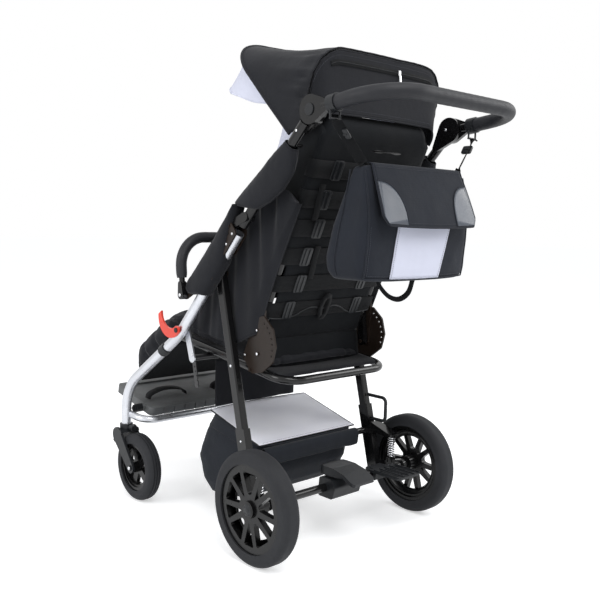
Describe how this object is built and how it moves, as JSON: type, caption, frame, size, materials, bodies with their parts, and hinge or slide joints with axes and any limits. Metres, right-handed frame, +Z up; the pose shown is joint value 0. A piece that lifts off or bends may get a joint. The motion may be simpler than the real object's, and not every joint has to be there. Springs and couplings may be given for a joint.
{
  "type": "special needs stroller",
  "caption": "Folding special needs stroller with reclining padded seat, canopy, adjustable handle, sprung rear axle, swivel casters, footrest, bag and basket.",
  "frame": {"origin": "on the ground, under the middle of the length and width", "axes": "+X to the occupant's left, +Y to the rear, +Z up"},
  "size_m": [0.659, 1.1963, 1.3252],
  "materials": {
    "silver_tube": "satin",
    "black_tube": "gloss",
    "bracket": "satin",
    "steel": "satin",
    "spring": "polished",
    "foam": "matte",
    "black_cloth": "woven",
    "grey_cloth": "woven",
    "bag_cloth": "woven",
    "webbing": "woven",
    "plastic": "matte",
    "rim": "gloss",
    "tyre": "matte",
    "red": "gloss"
  },
  "bodies": {
    "front_frame": {"front_tube_left": "silver_tube", "front_tube_right": "silver_tube", "front_cross_tube": "silver_tube", "fold_brackets": "bracket", "side_brackets": "bracket", "seat_mount": "silver_tube", "seat_frame": "black_tube", "seat_cushion": "black_cloth", "side_panels": "black_cloth", "frame_bolts": "plastic", "recline_plates": "bracket"},
    "fold_lock_hook": {"fold_lock_hook": "red"},
    "upper_frame": {"upper_tube_left": "black_tube", "upper_tube_right": "black_tube", "canopy_rear": "black_cloth"},
    "canopy": {"canopy_front": "black_cloth", "canopy_visor": "grey_cloth"},
    "handle": {"handle_bar": "black_tube", "handle_grip": "foam"},
    "handle_button_left": {"handle_button_left": "plastic"},
    "handle_button_right": {"handle_button_right": "plastic"},
    "bag_clips": {"bag_clips": "plastic"},
    "bag": {"bag_straps": "webbing", "bag_body": "bag_cloth"},
    "bag_flap": {"bag_flap": "bag_cloth"},
    "recline_carrier": {"recline_arms": "bracket"},
    "backrest": {"back_frame": "black_tube", "back_straps": "webbing", "back_cushion": "black_cloth", "recline_release": "webbing"},
    "headrest": {"headrest": "grey_cloth"},
    "bumper": {"bumper_bar": "black_tube", "bumper_foam": "foam"},
    "rear_legs": {"rear_leg_left": "black_tube", "rear_leg_right": "black_tube", "rear_cross_bar": "black_tube", "grab_loop": "plastic", "basket": "black_cloth"},
    "basket_lid": {"basket_lid": "grey_cloth"},
    "rear_axle": {"rear_axle": "black_tube", "brake_housing": "plastic", "step_plate": "plastic", "rear_springs": "spring"},
    "brake_pedal": {"brake_pedal": "plastic"},
    "leg_rest": {"leg_rest_frame": "black_tube", "leg_rest_pad": "black_cloth"},
    "footrest": {"footrest": "plastic"},
    "rear_wheel_left": {"rear_rim_left": "rim", "rear_tyre_left": "tyre"},
    "caster_left": {"caster_fork_left": "plastic"},
    "caster_knob_left": {"caster_knob_left": "plastic"},
    "front_wheel_left": {"front_rim_left": "rim", "front_tyre_left": "tyre"},
    "rear_wheel_right": {"rear_rim_right": "rim", "rear_tyre_right": "tyre"},
    "caster_right": {"caster_fork_right": "plastic"},
    "caster_knob_right": {"caster_knob_right": "plastic"},
    "front_wheel_right": {"front_rim_right": "rim", "front_tyre_right": "tyre"}
  },
  "joints": [
    {"name": "frame_fold", "type": "hinge", "parent": "front_frame", "child": "upper_frame", "pos_m": [0, 0.0694, 0.8425], "axis": [1, 0, 0], "range_deg": [0, 140], "deforming": ["canopy_rear", "canopy_front", "canopy_visor"]},
    {"name": "back_fold", "type": "hinge", "parent": "front_frame", "child": "recline_carrier", "pos_m": [0, 0.1099, 0.509], "axis": [1, 0, 0], "range_deg": [0, 64.4]},
    {"name": "backrest_recline", "type": "hinge", "parent": "recline_carrier", "child": "backrest", "pos_m": [0, 0.1099, 0.509], "axis": [1, 0, 0], "range_deg": [-8, 0]},
    {"name": "headrest_height", "type": "slide", "parent": "backrest", "child": "headrest", "axis": [0, 0.4067, 0.9135], "range_m": [-0.06, 0]},
    {"name": "bumper_fold", "type": "hinge", "parent": "front_frame", "child": "bumper", "pos_m": [0, -0.1161, 0.65], "axis": [1, 0, 0], "range_deg": [0, 84]},
    {"name": "rear_leg_fold", "type": "hinge", "parent": "front_frame", "child": "rear_legs", "pos_m": [0, -0.0171, 0.712], "axis": [1, 0, 0], "range_deg": [-14.98, 0]},
    {"name": "rear_suspension", "type": "hinge", "parent": "rear_legs", "child": "rear_axle", "pos_m": [0, 0.1289, 0.122], "axis": [1, 0, 0], "range_deg": [0, 7], "stiffness_Nm_per_rad": 80, "springref_deg": -17.19, "deforming": ["rear_springs"]},
    {"name": "brake_pedal", "type": "hinge", "parent": "rear_axle", "child": "brake_pedal", "pos_m": [0, 0.2329, 0.184], "axis": [1, 0, 0], "range_deg": [-15, 0]},
    {"name": "basket_lid", "type": "hinge", "parent": "rear_legs", "child": "basket_lid", "pos_m": [0, -0.1331, 0.3065], "axis": [1, 0, 0], "range_deg": [0, 40]},
    {"name": "handle_angle", "type": "hinge", "parent": "upper_frame", "child": "handle", "pos_m": [0, 0.3519, 1.111], "axis": [1, 0, 0], "range_deg": [-30, 35]},
    {"name": "handle_button_left", "type": "slide", "parent": "handle", "child": "handle_button_left", "axis": [-1, 0, 0], "range_m": [0, 0.003], "stiffness_N_per_m": 800},
    {"name": "handle_button_right", "type": "slide", "parent": "handle", "child": "handle_button_right", "axis": [1, 0, 0], "range_m": [0, 0.003], "stiffness_N_per_m": 800},
    {"name": "bag_clip_slide", "type": "slide", "parent": "handle", "child": "bag_clips", "axis": [0, 0.9925, 0.1219], "range_m": [0, 0.035]},
    {"name": "bag_hang", "type": "hinge", "parent": "bag_clips", "child": "bag", "pos_m": [0, 0.4219, 1.08499], "axis": [1, 0, 0], "range_deg": [-35, 30]},
    {"name": "bag_flap", "type": "hinge", "parent": "bag", "child": "bag_flap", "pos_m": [0, 0.4574, 0.981], "axis": [1, 0, 0], "range_deg": [0, 100]},
    {"name": "canopy_fold", "type": "hinge", "parent": "upper_frame", "child": "canopy", "pos_m": [0, 0.2769, 1.036], "axis": [1, 0, 0], "range_deg": [-40, 0]},
    {"name": "leg_rest_angle", "type": "hinge", "parent": "front_frame", "child": "leg_rest", "pos_m": [0, -0.29483, 0.51057], "axis": [1, 0, 0], "range_deg": [-35, 10]},
    {"name": "footrest_angle", "type": "hinge", "parent": "front_frame", "child": "footrest", "pos_m": [0, -0.4311, 0.268], "axis": [1, 0, 0], "range_deg": [-8, 15]},
    {"name": "fold_lock_hook", "type": "hinge", "parent": "front_frame", "child": "fold_lock_hook", "pos_m": [0, -0.1501, 0.548], "axis": [1, 0, 0], "range_deg": [0, 50]},
    {"name": "rear_wheel_left", "type": "hinge", "parent": "rear_axle", "child": "rear_wheel_left", "pos_m": [0.302, 0.2189, 0.145], "axis": [1, 0, 0], "continuous": true},
    {"name": "caster_swivel_left", "type": "hinge", "parent": "front_frame", "child": "caster_left", "pos_m": [0.278, -0.4451, 0.222], "axis": [0, 0, 1], "continuous": true},
    {"name": "caster_lock_left", "type": "slide", "parent": "caster_left", "child": "caster_knob_left", "axis": [0, 1, 0], "range_m": [0, 0.005]},
    {"name": "front_wheel_left", "type": "hinge", "parent": "caster_left", "child": "front_wheel_left", "pos_m": [0.278, -0.3701, 0.102], "axis": [1, 0, 0], "continuous": true},
    {"name": "rear_wheel_right", "type": "hinge", "parent": "rear_axle", "child": "rear_wheel_right", "pos_m": [-0.302, 0.2189, 0.145], "axis": [1, 0, 0], "continuous": true},
    {"name": "caster_swivel_right", "type": "hinge", "parent": "front_frame", "child": "caster_right", "pos_m": [-0.278, -0.4451, 0.222], "axis": [0, 0, 1], "continuous": true},
    {"name": "caster_lock_right", "type": "slide", "parent": "caster_right", "child": "caster_knob_right", "axis": [0, 1, 0], "range_m": [0, 0.005]},
    {"name": "front_wheel_right", "type": "hinge", "parent": "caster_right", "child": "front_wheel_right", "pos_m": [-0.278, -0.3701, 0.102], "axis": [1, 0, 0], "continuous": true}
  ],
  "couplings": [
    {"joint": "back_fold", "follows": "frame_fold", "ratio": 0.46},
    {"joint": "bumper_fold", "follows": "frame_fold", "ratio": 0.6},
    {"joint": "rear_leg_fold", "follows": "frame_fold", "ratio": -0.107},
    {"joint": "bag_hang", "follows": "handle_angle", "ratio": -1}
  ]
}
